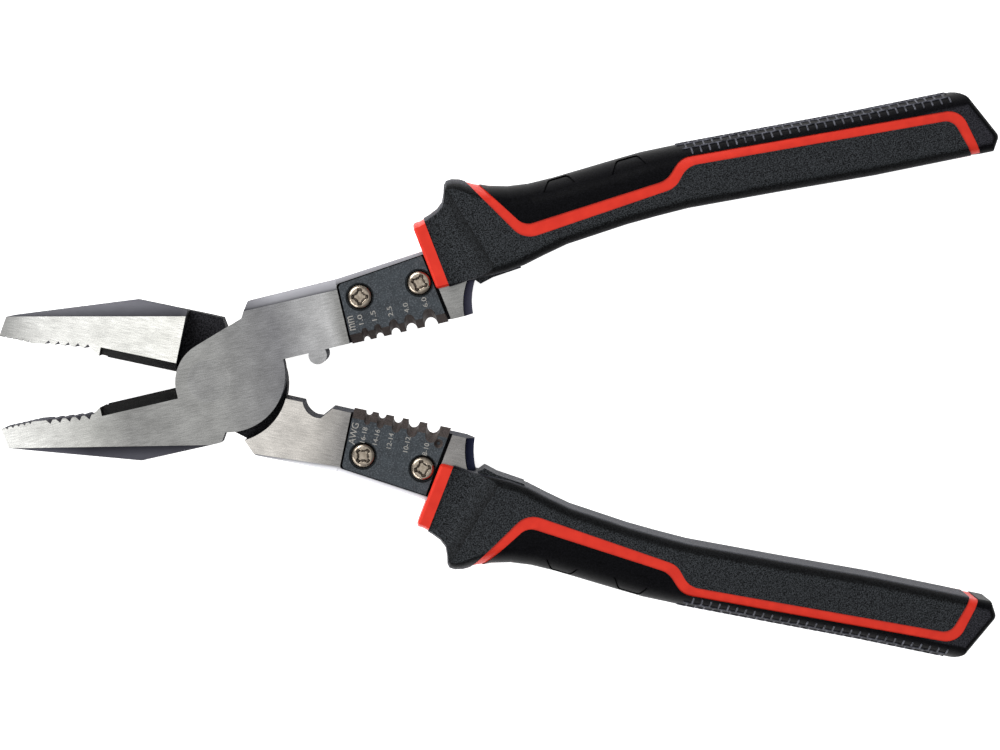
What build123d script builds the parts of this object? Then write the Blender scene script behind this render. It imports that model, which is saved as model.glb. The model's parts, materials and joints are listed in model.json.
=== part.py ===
from build123d import *
import os
from math import acos, atan2, cos, degrees, pi, radians, sin, sqrt, tan

# Combination wire stripper: two forged steel levers crossed in a lap joint, with gripping
# teeth and a side cutter in the jaws, a crimping tooth and notch behind the joint, two
# screwed-on stripping plates and moulded grips.
#
# Every piece is drawn in one lever frame, with the tool closed: the origin is on the pivot
# axis at the lap plane, the jaw points to -X and lies below Y = 0, the handle points to +X
# and lies above Y = 0, and +Z leaves the front face. The rear lever is the same shape
# turned half round about X. Both are then opened to the rest angle, and the whole tool is
# set down with its origin under the middle of its box. Sizes are millimetres.

# ---- driving dimensions ---------------------------------------------------------------
# joint
steel_thickness = 12.0       # between the ground faces of the levers
rest_opening = 25.0          # angle between the levers as the tool lies
lap_gap = 0.08               # play between the two halves of the lap joint
closing_gap = 0.10           # space left between the mating edges when closed
head_clearance = 0.40        # round the half-thick head of the other lever
front_arc_radius = 10.2      # head edge towards the jaws
front_arc_centre = (2.0, -0.9)
back_arc_radius = 13.9       # head edge towards the handles
back_arc_centre = (4.63, 0.45)
jaw_wall_x = -8.5            # where the jaw becomes full thickness

# jaws
jaw_reach = 51.2             # pivot axis to the tip
tip_width = 5.0
tip_rake = 0.7               # how far the tip's outer corner stands back
jaw_peak = (-21.0, -15.4)    # highest point of the jaw's back
facet_end = (-3.0, -15.15)
jaw_heel = (-0.4, -15.1)
heel_step_x = 0.97           # where the heel steps down to the round head
fine_tooth_count = 5
fine_tooth_pitch = 1.42
fine_tooth_start = -49.7
fine_tooth_depth = 0.55
coarse_tooth_count = 5
coarse_tooth_pitch = 2.34
coarse_tooth_start = -39.35
coarse_tooth_width = 2.0
coarse_tooth_depth = 1.3
coarse_gullet_drift = 1.1    # a gullet runs out by this much from each face to the lap plane
fine_gullet_drift = 0.3
pipe_grip_start = -43.0      # shallow hollow that holds the coarse teeth
pipe_grip_end = -28.8
pipe_grip_depth = 1.6
pipe_grip_bow = 0.62         # depth of the hollow half way, as a part of its whole depth
cutter_start = -26.9
cutter_bevel = 2.45          # width of the ground bevel, seen from the front
cutter_lead = 1.3            # first stretch of the edge, ground back
cutter_lead_depth = 0.36

# tang, from the joint to the grip
# (pairs of points give the front lever first, then the rear lever)
tang_corner = ((11.0, 12.8), (11.2, 12.2))
tang_shoulder = ((13.2, 16.45), (14.4, 15.25))
tang_bend = ((34.9, 16.75), (34.9, 15.2))
tang_flare = (4.9, 6.5)      # degrees by which the outer edge leaves the closing line, past the bend
rear_corner_round = 1.8
chamfer_line = (((12.0, 14.35), (34.6, 14.3)), ((14.6, 14.9), (34.2, 13.75)))
chamfer_angle = 50.0         # slope of the chamfer before the plate
plate_chamfer = (1.3, 2.8)   # width and depth of the chamfer beside the plate
chamfer_overlap = 0.5        # the chamfer beside the plate starts this far before the bend
front_edge_gap = 1.0         # inner edge of the front lever's tang above the closing line
rear_edge_gap = 0.35         # the same on the rear lever
crimp_x = 26.8
crimp_tooth_radius = 2.2
crimp_notch_radius = 2.9
crimp_notch_slope = 2.4      # run of the notch's straight side
tang_end_x = 63.1            # end of the face behind the plate
tang_end_rise = 0.3          # its lower corner above the tang's inner edge
tang_end_reach = (2.9, 1.6)  # how far its upper corner stands out, and lies inside the collar
tang_end_bow = 0.75          # where the middle of the concave end lies
tang_end_root = 1.0          # the sloped end is rooted this deep in the face
end_slope_run = 2.1          # the end wall slopes out by this much
end_slope_drop = 4.5         # over this much of the thickness, from each face
wall_relief = (2.2, 0.5)     # width and depth of the groove along the jaw's wall in the lap joint
steel_in_collar = 1.5        # the steel's full thickness ends this far behind the collar

# stripping plates
plate_start = 35.4
plate_side = 14.65           # outer edge of the plate above its stripping line, at its start
plate_side_angle = 6.0
plate_line = 0.75            # the plates meet this far on the front lever's side of the pivot
plate_thickness = 3.0
plate_bevel = 2.25
plate_start_gap = 0.5        # between plate and pocket, at the joint end
plate_side_gap = 0.25
plate_end_gap = 0.85
collar_gap = 0.5             # between plate and collar
plate_corner = 1.0
wire_relief = 4.2            # steel cut back under the stripping edge
notch_places = (39.1, 42.3, 46.2, 50.1, 54.9)
notch_areas = (1.0, 1.5, 2.5, 4.0, 6.0)   # conductor sizes in square millimetres
notch_ease = 0.2             # added to the conductor's radius
screw_places = ((39.8, 10.7), (54.4, 10.75))
screw_head_radius = 3.0
screw_head_height = 2.0
screw_dome = 1.1             # height of the sloped part of the head
screw_crown_radius = 2.1     # flat top of the head
screw_radius = 1.75
screw_length = 8.5
screw_seat_depth = 1.4
screw_seat_gap = 0.4
screw_hole_gap = 0.2
recess_depth = 1.3
recess_arm = 3.4
recess_width = 0.95

dimple_place = (56.9, 4.1)   # gauge mark on the rear plate, by its last notch
dimple_radius = 1.1
dimple_depth = 0.9

# rivet
rivet_radius = 3.8
rivet_head_radius = 5.15
rivet_head_height = 2.2
rivet_play = 0.05            # radial, in the rear lever

# grips
collar_front = ((58.3, 8.4), (55.75, 24.7))   # inner and outer end of the collar's front edge
collar_width = 3.1
collar_edge = 0.8            # rounding of the collar's front edge
collar_step = 0.8            # the collar is this much thinner than the grip, on each face
collar_inset = 0.25          # the collar stands this far inside the form of the grip
grip_half = 8.8              # half thickness of the grip
grip_cant = (0.81, 0.45)     # degrees by which the grips lean towards the rear lever's side
grip_cant_point = ((129.0, 20.0), (100.0, 20.0))
grip_reach = 196.7           # pivot axis to the end of the grip
foot_round = 5.0             # outer corner of the foot, in plan
tip_round = 1.6
rim_round = 2.0              # rim of the foot, towards both faces
stripe_recess = 0.25         # the stripe lies this far below the black mouldings
shell_wall = 2.2             # black moulding over the red sleeve
tang_half = 4.2              # half thickness of the steel inside the grip
scoop_radius = 16.0          # hollow across the neck, between collar and hand guard
scoop_depth = 1.4            # how deep that hollow goes below the flat panel

# ---- values that follow -----------------------------------------------------------------
half = steel_thickness / 2
jaw_edge = -closing_gap / 2
pocket_floor = half - plate_thickness
far = 60.0                   # reach of cutting bodies past the piece


# ---- small helpers ------------------------------------------------------------------------
def prism(face, low, high):
    """Stand a flat shape of the XY plane up between two heights."""
    return extrude(Pos(0, 0, low) * face, high - low, dir=(0, 0, 1))


def polygon(*points):
    """Flat shape inside straight lines through the points."""
    return make_face(Polyline(*points, close=True))


def on_circle(centre, radius, angle):
    """Point of a circle at an angle in degrees."""
    return (centre[0] + radius * cos(radians(angle)), centre[1] + radius * sin(radians(angle)))


def circle_at_x(centre, radius, x, side):
    """Point of a circle at a given x, on its upper (+1) or lower (-1) half."""
    return (x, centre[1] + side * sqrt(radius ** 2 - (x - centre[0]) ** 2))


def circle_at_y(centre, radius, y, side):
    """Point of a circle at a given y, on its right (+1) or left (-1) half."""
    return (centre[0] + side * sqrt(radius ** 2 - (y - centre[1]) ** 2), y)


def arc(centre, radius, start, end):
    """Arc from start to end, both on the circle, the short way round."""
    first = atan2(start[1] - centre[1], start[0] - centre[0])
    last = atan2(end[1] - centre[1], end[0] - centre[0])
    turn = (degrees(last - first) + 180) % 360 - 180
    return ThreePointArc(start, on_circle(centre, radius, degrees(first) + turn / 2), end)


def both_faces(body):
    """The body and its mirror image in the lap plane."""
    return body + mirror(body, Plane.XY)


def tang_edge(front, x):
    """Height of the tang's flared outer edge above the closing line."""
    which = 0 if front else 1
    bend = tang_bend[which]
    return bend[1] + (x - bend[0]) * tan(radians(tang_flare[which]))


def edge_gap(front):
    """Room between the tang's inner edge and the closing line."""
    return front_edge_gap if front else rear_edge_gap


# ---- steel levers -----------------------------------------------------------------------------
def lever_outline(front):
    """Plan of a lever from the tip of its jaw to the end of the steel that shows."""
    which = 0 if front else 1
    corner = tang_corner[which]
    tip = (-jaw_reach, jaw_edge)
    tip_back = (-jaw_reach + tip_rake, -tip_width)
    throat = circle_at_y(front_arc_centre, front_arc_radius, jaw_edge, -1)
    reach = (corner[0] - front_arc_centre[0], corner[1] - front_arc_centre[1])
    distance = sqrt(reach[0] ** 2 + reach[1] ** 2)
    tangent_angle = degrees(atan2(reach[1], reach[0]) + acos(front_arc_radius / distance))
    crown = on_circle(front_arc_centre, front_arc_radius, tangent_angle)
    shoulder = tang_shoulder[which]
    inside_x = collar_front[1][0] + collar_width + steel_in_collar
    inside_top = (inside_x, tang_edge(front, inside_x))
    end_low, end_mid, inside_low = tang_end_arc(front, 0.0)
    pivot_side = circle_at_y(back_arc_centre, back_arc_radius, edge_gap(front), 1)
    heel = circle_at_x(back_arc_centre, back_arc_radius, heel_step_x, -1)
    outline = make_face([
        Line(tip, throat),
        arc(front_arc_centre, front_arc_radius, throat, crown),
        Line(crown, corner),
        Line(corner, shoulder),
        Line(shoulder, tang_bend[which]),
        Line(tang_bend[which], inside_top),
        Line(inside_top, inside_low),
        ThreePointArc(inside_low, end_mid, end_low),
        Line(end_low, pivot_side),
        arc(back_arc_centre, back_arc_radius, pivot_side, heel),
        Line(heel, jaw_heel),
        Line(jaw_heel, jaw_peak),
        Line(jaw_peak, tip_back),
        Line(tip_back, tip),
    ])
    if front:
        return outline
    return fillet(outline.vertices().sort_by_distance(shoulder)[0], rear_corner_round)


def tang_end_arc(front, shift):
    """Start, middle and end of the concave end of the steel behind the plate, moved out by some way."""
    out, inside = tang_end_reach
    low = (tang_end_x + shift, edge_gap(front) + tang_end_rise)
    high = (tang_end_x + out + shift, collar_front[0][1] + inside)
    return low, (tang_end_x + tang_end_bow + shift, (low[1] + high[1]) / 2), high


def tang_end_plan(front, shift):
    """Plan of the steel behind the plate's pocket, with its concave end."""
    root = tang_end_x - tang_end_root
    end_low, end_mid, inside_low = tang_end_arc(front, shift)
    return make_face([Line((root, end_low[1]), end_low), ThreePointArc(end_low, end_mid, inside_low),
                      Line(inside_low, (root, inside_low[1])), Line((root, inside_low[1]), (root, end_low[1]))])


def sloped_end(front):
    """The end wall, which slopes out from both faces to its middle."""
    middle = half - end_slope_drop
    slope = loft([Pos(0, 0, half) * tang_end_plan(front, 0), Pos(0, 0, middle) *
                  tang_end_plan(front, end_slope_run)], ruled=True)
    return both_faces(slope) + prism(tang_end_plan(front, end_slope_run), -middle, middle)


def head_recess():
    """Space behind the half-thick head, where the other lever's head turns."""
    centre = (back_arc_centre[0], -back_arc_centre[1])
    radius = back_arc_radius + head_clearance
    round_part = Pos(*centre) * Circle(radius)
    jaw_side = Pos(jaw_wall_x - far / 2, 0) * Rectangle(far, far)
    back_x = tang_shoulder[0][0]
    below = polygon((jaw_wall_x, 0), (jaw_wall_x, -far / 2), (back_x, -far / 2), (back_x, 0))
    width, depth = wall_relief
    relief = Pos(jaw_wall_x + width / 2, 0) * Rectangle(width, far)
    return prism(round_part + below - jaw_side, -half - 1, lap_gap / 2) + prism(relief, -half - 1, depth)


def facet_cut():
    """Slope ground on the jaw's back, from a line on the face down to the lap plane."""
    start = (-jaw_reach + tip_rake, -tip_width)
    run = (facet_end[0] - start[0], facet_end[1] - start[1])
    length = sqrt(run[0] ** 2 + run[1] ** 2)
    depth = ((jaw_peak[0] - start[0]) * run[1] - (jaw_peak[1] - start[1]) * run[0]) / length
    section = polygon((-depth / 3, half * 4 / 3), (depth, 0), (depth + 12, 0), (depth + 12, half * 4 / 3))
    slope = Plane(origin=(start[0], start[1], 0), x_dir=(run[1], -run[0], 0), z_dir=(run[0], run[1], 0))
    return extrude(slope * section, length + 4) + extrude(slope * section, -4)


def gullet(points, drift):
    """V groove across the gripping edge, from both faces, that runs out towards the lap plane."""
    reach = half + 1
    cut = extrude(Pos(0, 0, reach) * polygon(*points), sqrt(reach ** 2 + drift ** 2), dir=(0, drift, -reach))
    return both_faces(cut)


def gripping_cuts():
    """Fine teeth at the tip, and the hollow with its coarse teeth."""
    cuts = []
    for tooth in range(fine_tooth_count):
        x = fine_tooth_start + tooth * fine_tooth_pitch
        w = fine_tooth_depth
        cuts.append(gullet(((x - w, 0.2), (x, jaw_edge - fine_tooth_depth), (x + w, 0.2)), fine_gullet_drift))
    floor = (pipe_grip_end, -pipe_grip_depth)
    shoulder = (cutter_start, -cutter_lead_depth)
    hollow = make_face([
        ThreePointArc((pipe_grip_start, jaw_edge), ((pipe_grip_start + pipe_grip_end) / 2,
                      -pipe_grip_bow * pipe_grip_depth), floor),
        Line(floor, shoulder),
        Line(shoulder, (cutter_start, 1)),
        Line((cutter_start, 1), (pipe_grip_start, 1)),
        Line((pipe_grip_start, 1), (pipe_grip_start, jaw_edge)),
    ])
    cuts.append(prism(hollow, -half - 1, half + 1))
    for tooth in range(coarse_tooth_count):
        x = coarse_tooth_start + tooth * coarse_tooth_pitch
        level = -pipe_grip_depth * (x - pipe_grip_start) / (pipe_grip_end - pipe_grip_start)
        w = coarse_tooth_width / 2
        points = ((x - w, 0.5), (x - w, level), (x, level - coarse_tooth_depth), (x + w, level), (x + w, 0.5))
        cuts.append(gullet(points, coarse_gullet_drift))
    return cuts


def cutter_cuts():
    """Bevels on both faces that leave the cutting edge in the lap plane."""
    slope = cutter_bevel / half
    bevel = polygon((0.5, 0), (jaw_edge, 0), (jaw_edge - slope * (half + 1), half + 1), (0.5, half + 1))
    side = Plane(origin=(cutter_start, 0, 0), x_dir=(0, 1, 0), z_dir=(1, 0, 0))
    bevels = both_faces(extrude(side * bevel, throat_x() - cutter_start))
    lead = Pos(cutter_start + cutter_lead / 2, 0) * Rectangle(cutter_lead, 2 * cutter_lead_depth)
    return [bevels, prism(lead, -half - 1, half + 1)]


def throat_x():
    """Where the cutting edge meets the round head."""
    return circle_at_y(front_arc_centre, front_arc_radius, jaw_edge, -1)[0]


def tang_chamfers(front):
    """Chamfers along the tang's outer edge, front and back: a wide one, and a narrow one by the plate."""
    which = 0 if front else 1
    (x0, y0), (x1, y1) = chamfer_line[which]
    length = sqrt((x1 - x0) ** 2 + (y1 - y0) ** 2)
    along = ((x1 - x0) / length, (y1 - y0) / length, 0)
    side = Plane(origin=(x0, y0, 0), x_dir=(-along[1], along[0], 0), z_dir=along)
    width = (half + 1) / tan(radians(chamfer_angle))
    section = polygon((0, half), (width, -1), (width, half + 1), (0, half + 1))
    wide = extrude(side * section, 2 * length, both=True)
    wide = wide - Pos(tang_bend[which][0] + far / 2, 0, half) * Box(far, far, far)
    bend = tang_bend[which]
    flare = radians(tang_flare[which])
    start = (bend[0] - chamfer_overlap * cos(flare), bend[1] - chamfer_overlap * sin(flare), 0)
    side = Plane(origin=start, x_dir=(-sin(flare), cos(flare), 0), z_dir=(cos(flare), sin(flare), 0))
    width, depth = plate_chamfer
    section = polygon((0, half - depth), (-width, half), (-2 * width, half + depth), (width, half + depth),
                      (width, half - depth))
    narrow = extrude(side * section, far)
    return both_faces(wide + narrow)


def plate_outline(pocket):
    """Plan of a stripping plate above its stripping line, or of its pocket."""
    start = plate_start - (plate_start_gap if pocket else 0.0)
    side = plate_side + (plate_side_gap if pocket else 0.0)
    end = (plate_end_gap if pocket else 0.0) - collar_gap
    slope = tan(radians(plate_side_angle))
    (x0, y0), (x1, y1) = collar_front
    lean = (x1 - x0) / (y1 - y0)
    low_y = -plate_bevel
    foot_x = x0 - lean * y0 + end
    top_y = (side + slope * (foot_x - plate_start)) / (1 - slope * lean)
    corner = (start, side + slope * (start - plate_start))
    shape = polygon((start, low_y), (foot_x + lean * low_y, low_y), (foot_x + lean * top_y, top_y), corner)
    return fillet(shape.vertices().sort_by_distance(corner)[0], plate_corner)


def grip_tang_outline():
    """Plan of the steel bar inside the grip."""
    inner = Spline((61.5, 9.8), (75, 12.6), (90, 16.2), (112, 18.4), (tang_tip_x(), 17.6))
    outer = Spline((tang_tip_x(), 23.0), (112, 24.6), (90, 23.8), (75, 21.6), (59.5, 18.0))
    return make_face([inner, Line(inner @ 1, outer @ 0), outer, Line(outer @ 1, inner @ 0)])


def tang_tip_x():
    """Far end of the steel inside the grip."""
    return grip_reach - 32.0


def crimp_shape(front):
    """Tooth of the front lever or notch of the rear lever."""
    if front:
        return Pos(crimp_x, 0.1) * Circle(crimp_tooth_radius)
    left = (crimp_x - crimp_notch_radius - 0.9, rear_edge_gap)
    low = (crimp_x - 0.2, crimp_notch_radius + 0.45)
    right = (crimp_x + 1.2, crimp_notch_radius + 0.4)
    return make_face([
        ThreePointArc(left, (crimp_x - crimp_notch_radius + 0.7, crimp_notch_radius - 0.4), low),
        Line(low, right),
        Line(right, (right[0] + crimp_notch_slope, rear_edge_gap)),
        Line((right[0] + crimp_notch_slope, rear_edge_gap), (right[0] + crimp_notch_slope, -1)),
        Line((right[0] + crimp_notch_slope, -1), (left[0], -1)),
        Line((left[0], -1), left),
    ])


def lever(front):
    """One forging, in the lever frame; the rear one has its plate pocket on the other face."""
    line = plate_line if front else -plate_line
    body = prism(lever_outline(front), -half, half) + sloped_end(front)
    body -= head_recess()
    body -= both_faces(facet_cut())
    for cut in gripping_cuts() + cutter_cuts():
        body -= cut
    body -= tang_chamfers(front)
    if front:
        body += prism(crimp_shape(True), -half, half)
    else:
        body -= prism(crimp_shape(False), -half - 1, half + 1)
    body += prism(grip_tang_outline(), -tang_half, tang_half)
    relief = plate_outline(False) & Pos(plate_start, wire_relief - far / 2) * Rectangle(4 * far, far)
    pocket = prism(relief, -half - 1, half + 1) + prism(plate_outline(True), pocket_floor, half + 1)
    pocket = Pos(0, line, 0) * pocket
    for x, y in screw_places:
        pocket += Pos(x, y + line, half - screw_seat_depth - screw_length) * extrude(Circle(screw_radius), far)
    body -= pocket if front else mirror(pocket, Plane.XY)
    if front:
        body -= extrude(Circle(rivet_radius), half + 1)
        body -= Pos(0, 0, half - rivet_head_height) * extrude(Circle(rivet_head_radius), half)
    else:
        body -= extrude(Circle(rivet_radius + rivet_play), half + 1)
        body -= Pos(0, 0, half - rivet_head_height - rivet_play) * extrude(Circle(rivet_head_radius + rivet_play),
                                                                          half)
    return body


def pivot_rivet():
    """Shank with a flush head at each face of the joint."""
    shank = extrude(Circle(rivet_radius), half, both=True)
    head = Pos(0, 0, half - rivet_head_height) * extrude(Circle(rivet_head_radius), rivet_head_height)
    return shank + both_faces(head)


# ---- stripping plates and their screws ------------------------------------------------------
def stripping_plate(front):
    """Hardened plate with a bevel and five notches along its stripping edge."""
    plate = prism(plate_outline(False), pocket_floor, half)
    edge = closing_gap / 2
    slope = plate_bevel / plate_thickness
    side = Plane(origin=(plate_start - 1, 0, 0), x_dir=(0, 1, 0), z_dir=(1, 0, 0))
    bevel = polygon((-4, pocket_floor - 1), (edge, pocket_floor - 1), (edge, pocket_floor),
                    (edge + slope * (plate_thickness + 1), half + 1), (-4, half + 1))
    plate -= extrude(side * bevel, far)
    lean = degrees(atan2(plate_bevel, plate_thickness))
    for x, area in zip(notch_places, notch_areas):
        radius = sqrt(area / pi) + notch_ease
        groove = Cylinder(radius, 4 * plate_thickness)
        plate -= Pos(x, edge, pocket_floor) * Rot(-lean, 0, 0) * groove
    for place in screw_places:
        plate -= Pos(*place, 0) * extrude(Circle(screw_radius + screw_hole_gap), half + 1)
        seat = Circle(screw_head_radius + screw_seat_gap)
        plate -= Pos(*place, half - screw_seat_depth) * extrude(seat, half)
    if front:
        return Pos(0, plate_line, 0) * plate
    plate -= Pos(*dimple_place, half - dimple_depth) * Cone(dimple_radius / 3, dimple_radius, dimple_depth,
                                                            align=(Align.CENTER, Align.CENTER, Align.MIN))
    return Pos(0, plate_line, 0) * mirror(plate, Plane.XZ)


def plate_screw():
    """Pan head screw standing on its seat, with a cross recess."""
    seat = half - screw_seat_depth
    rim = screw_head_height - screw_dome
    top = seat + screw_head_height
    profile = make_face([
        Line((0, seat - screw_length), (screw_radius, seat - screw_length)),
        Line((screw_radius, seat - screw_length), (screw_radius, seat)),
        Line((screw_radius, seat), (screw_head_radius, seat)),
        Line((screw_head_radius, seat), (screw_head_radius, seat + rim)),
        Line((screw_head_radius, seat + rim), (screw_crown_radius, top)),
        Line((screw_crown_radius, top), (0, top)),
        Line((0, top), (0, seat - screw_length)),
    ])
    screw = revolve(Plane.XZ * profile, Axis.Z)
    arm = Box(recess_arm, recess_width, 2 * recess_depth)
    cross = arm + Rot(0, 0, 90) * arm
    return screw - Pos(0, 0, top) * Rot(0, 0, 30) * cross


# ---- grips -------------------------------------------------------------------------------------
# Sections across the grip: place along the lever, inner and outer edge, how far the outer
# edge is rounded over in plan, and the radius of the inner edge.
grip_sections = (
    (46.0, 7.85, 24.6, 2.2, 2.2),
    (57.5, 7.85, 25.0, 2.2, 2.2),
    (60.0, 7.9, 25.8, 2.2, 2.2),
    (62.2, 8.05, 26.8, 2.3, 2.2),
    (63.8, 8.2, 28.2, 2.4, 2.4),
    (64.6, 8.3, 30.2, 2.4, 2.4),
    (65.1, 8.4, 32.1, 2.4, 2.4),
    (65.8, 8.5, 32.95, 2.5, 2.5),
    (67.2, 8.55, 33.1, 2.8, 2.6),
    (69.0, 8.6, 32.65, 3.3, 2.6),
    (72.0, 8.6, 31.1, 4.0, 2.7),
    (75.5, 8.7, 29.7, 5.0, 2.8),
    (80.0, 9.3, 28.6, 6.0, 2.9),
    (85.0, 10.6, 28.15, 6.6, 3.0),
    (91.0, 12.0, 28.3, 7.0, 3.0),
    (106.0, 13.6, 29.4, 7.4, 3.0),
    (113.0, 14.0, 29.85, 6.8, 3.0),
    (121.0, 14.3, 29.8, 6.0, 3.0),
    (144.0, 13.5, 29.1, 5.0, 3.0),
    (166.0, 12.55, 28.45, 5.0, 3.0),
    (186.0, 12.3, 28.2, 5.0, 3.0),
    (200.0, 12.1, 28.0, 5.0, 3.0),
)
shell_edge = ((67.9, 35.6), (81.1, 15.2), (118.8, 19.6), (122.7, 24.1), (186.4, 21.5), (191.6, 5.4))
shell_edge_bends = (5.5, 5.0, 5.0, 3.2)      # where the black shell ends at the red stripe
pad_edge = ((70.2, 35.0), (81.9, 18.5), (117.2, 21.9), (121.6, 26.4), (188.6, 23.7), (193.4, 5.2))
pad_edge_bends = (3.8, 5.0, 5.0, 4.8)        # where the black pad begins
crease = ((72.6, 11.7), (67.3, 26.6))        # edge between the neck's hollow and the flat panel
nose = ((66.6, 11.0), (66.9, 9.2), (68.8, 7.1), (72.0, 8.0), (79.0, 8.8), (80.0, 11.0))
nose_half = 5.6
groove_arches = ((87.2, 97.1, 25.1, 26.2, 27.9), (104.1, 114.4, 25.7, 26.9, 29.0))
groove_lean = 2.5            # an arch: start, end, both feet and crown; its legs lean in by this much
groove_bend = 1.2
groove_rise = 0.35           # an arch follows the rise of the grip
groove_foot = 1.0            # the outline of an arch is closed this far below its feet
groove_web = 1.0             # the arches of the two faces stop this far from the middle
groove_width = 0.45
groove_depth = 0.4


def grip_section(place, inner, outer, outer_round, inner_round, inset):
    """Section across the grip: flat faces, a rounded inner edge and an elliptical outer edge."""
    low = inner + inset
    high = outer - inset
    top = grip_half - inset
    r = max(inner_round - inset, 0.6)
    a = max(outer_round - inset, 0.8)
    s = r * (1 - sin(radians(45)))
    return Plane.YZ.offset(place) * make_face([
        Line((low, r - top), (low, top - r)),
        ThreePointArc((low, top - r), (low + s, top - s), (low + r, top)),
        Line((low + r, top), (high - a, top)),
        EllipticalCenterArc((high - a, 0), a, top, start_angle=0, arc_size=90),
        EllipticalCenterArc((high - a, 0), a, top, start_angle=-90, arc_size=90),
        Line((high - a, -top), (low + r, -top)),
        ThreePointArc((low + r, -top), (low + s, s - top), (low, r - top)),
    ])


def grip_end(inset):
    """Block that ends the grip with its slanted, rounded foot."""
    reach = grip_reach - inset
    crown = (reach - 6.4, 28.2 - inset)
    tip = (reach, 15.5)
    foot = polygon((reach - 160, -20), (reach - 160, 60), (reach - 28, 60), (reach - 28, 28.6 - inset), crown,
                   tip, (reach - 2.3, 11.6 + inset), (reach - 14, 8.0 + inset), (reach - 14, -20))
    foot = fillet(foot.vertices().sort_by_distance(crown)[0], foot_round)
    foot = fillet(foot.vertices().sort_by_distance(tip)[0], tip_round)
    block = prism(foot, inset - grip_half, grip_half - inset)
    rim = block.edges().filter_by_position(Axis.X, reach - 12, reach + 1)
    rim = rim.filter_by(lambda edge: abs(abs(edge.center().Z) - grip_half + inset) < 0.01)
    return fillet(rim, rim_round)


def grip_form(inset, step=1):
    """Outer form of the grip, or the same form some way further in, through every step-th section."""
    chosen = grip_sections[:-1:step] + grip_sections[-1:]
    sections = [grip_section(*section, inset) for section in chosen]
    return loft(sections, ruled=True) & grip_end(inset)


def behind_collar(shift):
    """Plan of everything further along the lever than the collar's front edge."""
    (x0, y0), (x1, y1) = collar_front
    lean = (x1 - x0) / (y1 - y0)
    return polygon((x0 + lean * (-20 - y0) + shift, -20), (x0 + lean * (60 - y0) + shift, 60), (260, 60), (260, -20))


def outside_of(points, bends):
    """Plan of everything on the outer side of an edge of the stripe, and past the end of the grip."""
    line = FilletPolyline(*points, radius=bends)
    (x0, y0), (x1, y1) = points[0], points[-1]
    frame = Polyline((x1, y1), (far * 4, y1), (far * 4, far), (x0, far), (x0, y0))
    return make_face(line.edges() + frame.edges())


def neck_scoops():
    """Hollows across both faces, from the collar to the crease before the flat panel."""
    (x0, y0), (x1, y1) = crease
    length = sqrt((x1 - x0) ** 2 + (y1 - y0) ** 2)
    along = ((x1 - x0) / length, (y1 - y0) / length)
    back = sqrt(scoop_radius ** 2 - (scoop_radius - scoop_depth) ** 2)
    centre = (x0 - along[1] * back, y0 + along[0] * back)
    height = grip_half - scoop_depth + scoop_radius
    axis = Plane(origin=(centre[0], centre[1], height), x_dir=(0, 0, 1),
                 z_dir=(along[0], along[1], 0))
    return both_faces(extrude(axis * Circle(scoop_radius), far, both=True))


def steel_in_grip(front):
    """Room that the steel takes inside the grip."""
    room = prism(lever_outline(front), -half, half) + sloped_end(front)
    return room + prism(grip_tang_outline(), -tang_half, tang_half)


def pad_grooves():
    """Arched grooves over the thumb rests, on both faces."""
    bodies = []
    for start, end, first_foot, last_foot, high in groove_arches:
        low = first_foot - groove_foot
        outer = polygon((start, low), (start + groove_lean, high), (end - groove_lean, high + groove_rise),
                        (end, low + groove_rise))
        crowns = outer.vertices().sort_by(Axis.Y)[-2:]
        outer = fillet(crowns, groove_bend)
        inner = offset(outer, -groove_width)
        below = polygon((start, low - 1), (start, first_foot), (end, last_foot), (end, low - 1))
        bodies.append(both_faces(prism(outer - inner - below, groove_web, far)))
    return bodies


def round_collar(collar):
    """The collar with its front edge rounded."""
    (x0, y0), (x1, y1) = collar_front
    length = sqrt((x1 - x0) ** 2 + (y1 - y0) ** 2)

    def off_front(point):
        return abs((point.X - x0) * (y1 - y0) - (point.Y - y0) * (x1 - x0)) / length

    rim = collar.edges().filter_by(lambda edge: max(off_front(edge @ 0), off_front(edge @ 1)) < 0.01)
    return fillet(rim, collar_edge)


def grip_pieces(front):
    """Red sleeve, black shell and black pad of one grip, in the lever frame."""
    full = grip_form(0)
    core = grip_form(shell_wall, 4)
    behind = prism(behind_collar(collar_width), -far, far)
    beyond_shell = prism(outside_of(shell_edge, shell_edge_bends), -far, far)
    beyond_stripe = prism(outside_of(pad_edge, pad_edge_bends), -far, far)
    steel = steel_in_grip(front)
    ring_half = grip_half - collar_step
    ring = prism(behind_collar(0) - behind_collar(collar_width), -ring_half, ring_half)
    collar = round_collar(grip_form(collar_inset) & ring)
    stripe = (grip_form(stripe_recess) & beyond_shell) - beyond_stripe
    sleeve = (core & behind) + collar + stripe
    shell = (full & behind) - neck_scoops() - beyond_shell
    shell = shell + prism(polygon(*nose), -nose_half, nose_half) - core
    pad = (full & beyond_stripe) - core
    for arch in pad_grooves():
        pad -= arch & (full - grip_form(groove_depth))
    which = 0 if front else 1
    x, y = grip_cant_point[which]
    lean = -grip_cant[which] if front else grip_cant[which]
    cant = Pos(x, y, 0) * Rot(0, 0, lean) * Pos(-x, -y, 0)
    return {"grip_sleeve": cant * sleeve - steel, "grip_shell": cant * shell - steel, "grip_pad": cant * pad}


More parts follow.
